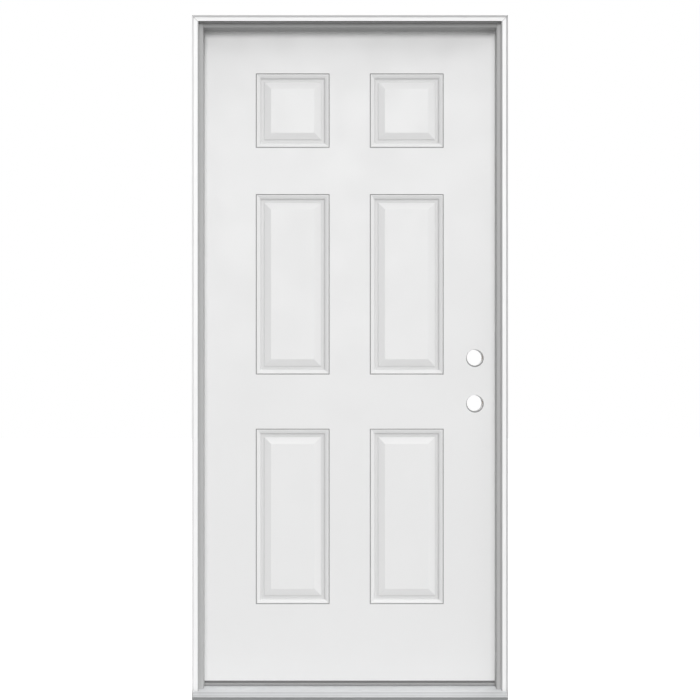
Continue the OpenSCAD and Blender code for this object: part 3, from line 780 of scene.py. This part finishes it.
BORE_CUT = 60 * MM  # longer than the leaf is thick
NOTCH_DEPTH = 2.6 * MM
NOTCH_ROOM = 0.2 * MM  # round a hinge's flap
CUT_PAST = 2 * MM  # how far a cutter runs past the steel


def cut_bores(sheet):
    """Cuts both lock bores through a sheet."""
    for centre, radius in LOCK_BORES:
        cut(sheet, rod_cutter((centre.x, LEAF_MID_Y, centre.z), radius, BORE_CUT))


def notch_for_hinges(sheet):
    """Notches the indoor sheet's turned edge for the three hinge flaps."""
    for place in HINGES:
        low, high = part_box(place + "_hinge_leaf_flap")
        cut(sheet, box_cutter(
            (SKIN_LOW.x - CUT_PAST, low.y - NOTCH_ROOM, low.z - NOTCH_ROOM),
            (SKIN_LOW.x + NOTCH_DEPTH, INDOOR_FACE + CUT_PAST, high.z + NOTCH_ROOM)))


class DoorSkins(bpy.types.Operator):
    """Press the two steel skins of the leaf"""

    bl_idname = "door.skins"
    bl_label = "Skins"

    def execute(self, context):
        exterior = press_sheet("pressed_skin_exterior", context.scene.door_panels)
        interior = turned_indoors(exterior, "pressed_skin_interior")
        notch_for_hinges(interior)
        for sheet, node in ((exterior, "skin_exterior"), (interior, "skin_interior")):
            cut_bores(sheet)
            flat_faces_stay_flat(sheet)
            finish(sheet, "leaf", materials()["leaf"], "white_steel", node)
        return {"FINISHED"}


# widths of the rounded edges
BROAD_EDGE = 0.8 * MM
DECK_EDGE = 0.4 * MM
TRIM_EDGE = 0.35 * MM
HINGE_EDGE = 0.35 * MM
FINE_EDGE = 0.3 * MM

COPIES = (
    # node, body, finish, slot, width of its rounded edges
    ("hinge_jamb", "frame", "primer_upright", "primed_wood", BROAD_EDGE),
    ("strike_jamb", "frame", "primer_upright", "primed_wood", BROAD_EDGE),
    ("head_jamb", "frame", "primer_level", "primed_wood", BROAD_EDGE),
    ("hinge_side_trim", "frame", "trim_upright", "white_trim", TRIM_EDGE),
    ("strike_side_trim", "frame", "trim_upright", "white_trim", TRIM_EDGE),
    ("head_trim", "frame", "trim_level", "white_trim", TRIM_EDGE),
    ("hinge_side_seal", "frame", "seal_upright", "seal_vinyl", FINE_EDGE),
    ("strike_side_seal", "frame", "seal_upright", "seal_vinyl", FINE_EDGE),
    ("head_seal", "frame", "seal_level", "seal_vinyl", FINE_EDGE),
    ("corner_pads", "frame", "pad", "pad_foam", FINE_EDGE),
    ("sill_deck", "frame", "aluminium", "mill_aluminium", DECK_EDGE),
    ("sill_substrate", "frame", "substrate", "sill_composite", BROAD_EDGE),
    ("sill_cap", "frame", "cap", "cap_vinyl", BROAD_EDGE),
    ("hinge_stile", "leaf", "pine_upright", "bare_wood", FINE_EDGE),
    ("lock_stile", "leaf", "bored_upright", "bare_wood", FINE_EDGE),
    ("lock_block", "leaf", "bored_level", "bare_wood", FINE_EDGE),
    ("bottom_sweep", "leaf", "sweep", "sweep_vinyl", FINE_EDGE),
)
PLAIN = (
    # node shown as it is, finish
    ("cap_screws", "zinc"), ("head_screws", "zinc"), ("sill_screws", "zinc"), ("sweep_screws", "zinc"),
    ("frame_hinge_screws", "hinge"), ("leaf_hinge_screws", "hinge"),
    ("top_rail", "pine_level"), ("bottom_rail", "pine_level"), ("foam_core", "foam"),
)

TRIM_BAND = (3.0 * MM, 4.6 * MM)  # where in Y the trim's flat band lies
BAND_SINK = 1.8 * MM
NOSE_BACK = -20 * MM  # the deck's nose lies in front of this
NOSE_UNDER = 10 * MM  # and above this
NOSE_LIFT = 3 * MM
BORE_DRAWN = 0.92


def deepen_band(piece):
    """Sinks the trim's flat band, so that its outer rim stands up crisply."""
    pick(piece, "verts", lambda v: TRIM_BAND[0] < v.co.y < TRIM_BAND[1])
    bpy.ops.transform.translate(value=(0, BAND_SINK, 0))


def lift_nose(piece):
    """Raises the front edge of the deck, which the sloping top runs down to."""
    pick(piece, "verts", lambda v: v.co.y < NOSE_BACK and v.co.z > NOSE_UNDER)
    bpy.ops.transform.translate(value=(0, 0, NOSE_LIFT))


def draw_in_bores(piece):
    """Lets the block show as a crescent at the foot of each lock bore, where its dark rim is painted
    shade.
    """
    for centre, radius in LOCK_BORES:
        pick(piece, "verts", lambda v: math.hypot(v.co.x - centre.x, v.co.z - centre.z)
             < radius + 2 * NEAR)
        bpy.ops.transform.resize(value=(BORE_DRAWN, 1, BORE_DRAWN),
                                 center_override=centre + Vector((0, 0, radius)))


SHAPES = {"hinge_side_trim": deepen_band, "strike_side_trim": deepen_band, "head_trim": deepen_band,
          "sill_deck": lift_nose, "lock_block": draw_in_bores, "lock_stile": draw_in_bores}


class DoorCarpentry(bpy.types.Operator):
    """Round and finish the jambs, trim, seals, threshold and the leaf's wood"""

    bl_idname = "door.carpentry"
    bl_label = "Frame and Threshold"

    def execute(self, context):
        for node, body, look, slot, width in COPIES:
            piece = softened(node, width, SHAPES.get(node))
            finish(piece, body, materials()[look], slot, node)
        for node, look in PLAIN:
            shown = frame["nodes"][node]
            shown.data.materials.clear()
            shown.data.materials.append(materials()[look])
        return {"FINISHED"}


class DoorHinges(bpy.types.Operator):
    """Round and finish the three hinges"""

    bl_idname = "door.hinges"
    bl_label = "Hinges"

    def execute(self, context):
        for place in HINGES:
            for part, body in (("frame_flap", "frame"), ("pin", "frame"), ("leaf_flap", "leaf")):
                node = f"{place}_hinge_{part}"
                finish(softened(node, HINGE_EDGE), body, materials()["hinge"], "hinge_steel", node)
        return {"FINISHED"}


# ------------------------------------------------------------------ stage

WHITE = (1, 1, 1, 1)
FLOOR_SIZE = 40
FLOOR_TONES = [(0.3, (0.59, 0.59, 0.59)), (0.7, (0.61, 0.61, 0.61))]
SUN_DISTANCE = 6
SUNS = (
    # name of the light and of its strength, where it comes from, width of its disc in degrees
    ("key", (0.50, -0.38, 0.78), 50),
    ("front", (0.0, -1.0, 0.25), 25),
    ("back", (-0.4, 0.9, 0.2), 40),
)
PASSED_BY_KEY = ("rounded_strike_jamb", "rounded_strike_side_trim", "rounded_strike_side_seal")


def lay_floor():
    """A pale paper floor, seen white and lit softly."""
    bpy.ops.object.select_all(action="DESELECT")
    bpy.ops.mesh.primitive_plane_add(size=FLOOR_SIZE, location=(0, 0, 0))
    floor = bpy.context.object
    floor.name = "studio_floor"
    paper = Finish("studio paper", roughness=0.9)
    paper.colour(paper.ramp(paper.noise(0.8, 2.0), FLOOR_TONES))
    ray = paper.add("ShaderNodeLightPath")
    paper.shader.inputs["Emission Color"].default_value = WHITE
    paper.link(ray.outputs["Is Camera Ray"], paper.shader.inputs["Emission Strength"])
    floor.data.materials.append(paper.material)


def light_all_round(scene, strength):
    """A soft even light from all sides, behind which the camera sees plain white."""
    world = bpy.data.worlds.new("studio")
    scene.world = world
    world.use_nodes = True
    tree = world.node_tree
    soft = tree.nodes["Background"]
    seen = tree.nodes.new("ShaderNodeBackground")
    for background, level in ((soft, strength), (seen, 1.0)):
        background.inputs["Color"].default_value = WHITE
        background.inputs["Strength"].default_value = level
    ray = tree.nodes.new("ShaderNodeLightPath")
    mixed = tree.nodes.new("ShaderNodeMixShader")
    tree.links.new(ray.outputs["Is Camera Ray"], mixed.inputs["Fac"])
    tree.links.new(soft.outputs["Background"], mixed.inputs[1])
    tree.links.new(seen.outputs["Background"], mixed.inputs[2])
    tree.links.new(mixed.outputs["Shader"], tree.nodes["World Output"].inputs["Surface"])


def hang_suns(scene, settings):
    """The three broad lights."""
    for name, place, spread in SUNS:
        lamp = bpy.data.lights.new(name, "SUN")
        lamp.energy = getattr(settings, name)
        lamp.angle = math.radians(spread)
        light = bpy.data.objects.new(name, lamp)
        scene.collection.objects.link(light)
        light.location = Vector(place) * SUN_DISTANCE
        light.rotation_euler = light.location.to_track_quat("Z", "Y").to_euler()


def spare_from_shade(light, names):
    """Lets a light pass pieces already made, so that they throw none of its shade on the leaf."""
    passed = bpy.data.collections.new("passed by the " + light.name)
    for name in names:
        passed.objects.link(bpy.data.objects[name])
    light.light_linking.blocker_collection = passed
    for member in passed.collection_objects:
        member.light_linking.link_state = "EXCLUDE"


def place_camera(scene, settings):
    """A level camera, square to the door."""
    lens = bpy.data.cameras.new("camera")
    camera = bpy.data.objects.new("camera", lens)
    scene.collection.objects.link(camera)
    camera.location = (settings.camera_x, -settings.distance, settings.camera_z)
    camera.rotation_euler = (math.pi / 2, 0, 0)
    lens.lens = settings.lens
    lens.shift_x = settings.shift_x
    lens.shift_y = settings.shift_y
    lens.clip_end = 100
    scene.camera = camera


class DoorStage(bpy.types.Operator):
    """Set the floor, the light and the camera, after the pieces"""

    bl_idname = "door.stage"
    bl_label = "Floor, Light and Camera"

    def execute(self, context):
        scene = context.scene
        settings = scene.door_stage
        scene.view_settings.view_transform = "Standard"
        lay_floor()
        light_all_round(scene, settings.ambient)
        hang_suns(scene, settings)
        spare_from_shade(bpy.data.objects["key"], PASSED_BY_KEY)
        place_camera(scene, settings)
        return {"FINISHED"}


# ------------------------------------------------------------------ add-on

OPERATORS = (DoorSkins, DoorCarpentry, DoorHinges, DoorStage)
SETTINGS = (("door_panels", DoorPanelSettings), ("door_finishes", DoorFinishSettings),
            ("door_stage", DoorStageSettings))


class DoorPanel(bpy.types.Panel):
    """The door's pieces and settings"""

    bl_idname = "VIEW3D_PT_front_door"
    bl_label = "Front Door"
    bl_space_type = "VIEW_3D"
    bl_region_type = "UI"
    bl_category = "Front Door"

    def draw(self, context):
        for operator in OPERATORS:
            self.layout.operator(operator.bl_idname)
        for name, group in SETTINGS:
            box = self.layout.box()
            for key in group.__annotations__:
                box.prop(getattr(context.scene, name), key)


def register():
    """Registers the classes and the settings."""
    for kind in [group for _, group in SETTINGS] + list(OPERATORS) + [DoorPanel]:
        bpy.utils.register_class(kind)
    for name, group in SETTINGS:
        setattr(bpy.types.Scene, name, bpy.props.PointerProperty(type=group))


def unregister():
    """Takes the settings and the classes away again."""
    for name, _ in SETTINGS:
        delattr(bpy.types.Scene, name)
    for kind in [DoorPanel] + list(OPERATORS) + [group for _, group in SETTINGS]:
        bpy.utils.unregister_class(kind)


def main():
    """Makes the whole door."""
    register()
    bpy.ops.door.skins()
    bpy.ops.door.carpentry()
    bpy.ops.door.hinges()
    bpy.ops.door.stage()


if __name__ == "__main__":
    main()
